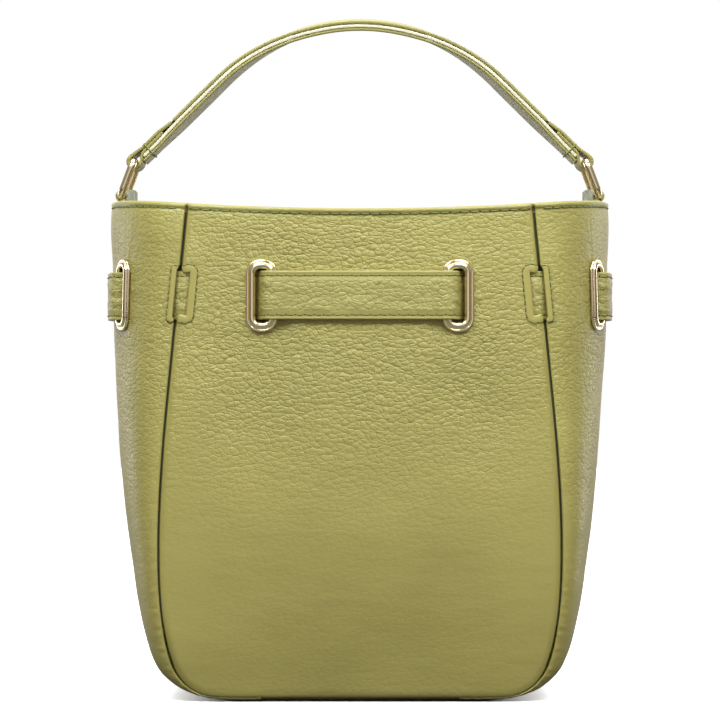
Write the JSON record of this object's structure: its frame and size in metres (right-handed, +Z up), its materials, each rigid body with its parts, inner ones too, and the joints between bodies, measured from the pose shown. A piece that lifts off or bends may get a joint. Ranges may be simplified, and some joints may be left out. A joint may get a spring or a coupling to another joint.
{
  "type": "belted bucket handbag",
  "caption": "Small pebbled-leather bucket handbag, open at the top, cinched by a belt woven through oval eyelets, with a short top handle on two metal rings.",
  "frame": {"origin": "on the ground under the middle of the base", "axes": "+Z up, +X to the right seen from the front, the front panel faces -Y"},
  "size_m": [0.2106, 0.1305, 0.2812],
  "materials": {
    "leather": "pebbled, semi-matte",
    "belt_leather": "pebbled, semi-matte, stitched edges",
    "edge_core": "cut edge, cream",
    "pale_gold": "polished, pale gold",
    "lining_cloth": "woven cotton",
    "board": "fibreboard"
  },
  "bodies": {
    "bag": {"back_panel": "leather", "base_board": "board", "base_panel": "leather", "belt_keeper": "belt_leather", "belt_strap": "belt_leather", "binding_gusset_back_left": "leather", "binding_gusset_back_right": "leather", "binding_gusset_front_left": "leather", "binding_gusset_front_right": "leather", "binding_panel_back_left": "leather", "binding_panel_back_right": "leather", "binding_panel_front_left": "leather", "binding_panel_front_right": "leather", "buckle_frame": "pale_gold", "eyelet_back_left": "pale_gold", "eyelet_back_right": "pale_gold", "eyelet_front_left": "pale_gold", "eyelet_front_right": "pale_gold", "eyelet_side_left_back": "pale_gold", "eyelet_side_left_front": "pale_gold", "eyelet_side_right_back": "pale_gold", "eyelet_side_right_front": "pale_gold", "front_panel": "leather", "gusset_left": "leather", "gusset_right": "leather", "lining_back": "lining_cloth", "lining_front": "lining_cloth", "lining_gusset": "lining_cloth", "rim_facing_back": "leather", "rim_facing_front": "leather", "rim_facing_left": "leather", "rim_facing_right": "leather", "slip_pocket": "lining_cloth", "snap_socket_front": "pale_gold", "snap_stud_back": "pale_gold", "tab_anchor_left": "leather", "tab_anchor_right": "leather", "washer_back_left": "pale_gold", "washer_back_right": "pale_gold", "washer_front_left": "pale_gold", "washer_front_right": "pale_gold", "washer_side_left_back": "pale_gold", "washer_side_left_front": "pale_gold", "washer_side_right_back": "pale_gold", "washer_side_right_front": "pale_gold"},
    "tab_left": {"tab_loop_left": "leather"},
    "ring_left_body": {"ring_left": "pale_gold"},
    "handle": {"handle_top_strap": "leather", "handle_core": "edge_core", "handle_under_strap": "leather"},
    "ring_right_body": {"ring_right": "pale_gold"},
    "tab_right": {"tab_loop_right": "leather"},
    "prong": {"buckle_prong": "pale_gold"}
  },
  "joints": [
    {"name": "tab_left_bend", "type": "hinge", "parent": "bag", "child": "tab_left", "pos_m": [-0.0983, 0, 0.2029], "axis": [1, 0, 0], "range_deg": [-10, 10]},
    {"name": "ring_left_swing", "type": "hinge", "parent": "tab_left", "child": "ring_left_body", "pos_m": [-0.0993, 0, 0.2064], "axis": [0, 1, 0], "range_deg": [-10, 10]},
    {"name": "handle_pivot", "type": "hinge", "parent": "ring_left_body", "child": "handle", "pos_m": [-0.09401, 0, 0.22054], "axis": [0, 1, 0], "range_deg": [-10.6, 10.6]},
    {"name": "ring_right_pivot", "type": "hinge", "parent": "handle", "child": "ring_right_body", "pos_m": [0.09401, 0, 0.22054], "axis": [0, 1, 0], "range_deg": [-10.6, 10.6]},
    {"name": "tab_right_bend", "type": "hinge", "parent": "bag", "child": "tab_right", "pos_m": [0.0983, 0, 0.2029], "axis": [1, 0, 0], "range_deg": [-10, 10]},
    {"name": "prong_lift", "type": "hinge", "parent": "bag", "child": "prong", "pos_m": [-0.009, 0.06295, 0.1648], "axis": [0, 0, 1], "range_deg": [0, 8]}
  ],
  "couplings": [
    {"joint": "handle_pivot", "follows": "ring_left_swing", "ratio": -1.0562},
    {"joint": "ring_right_pivot", "follows": "ring_left_swing", "ratio": 1.0562},
    {"joint": "tab_right_bend", "follows": "tab_left_bend", "ratio": 1}
  ]
}
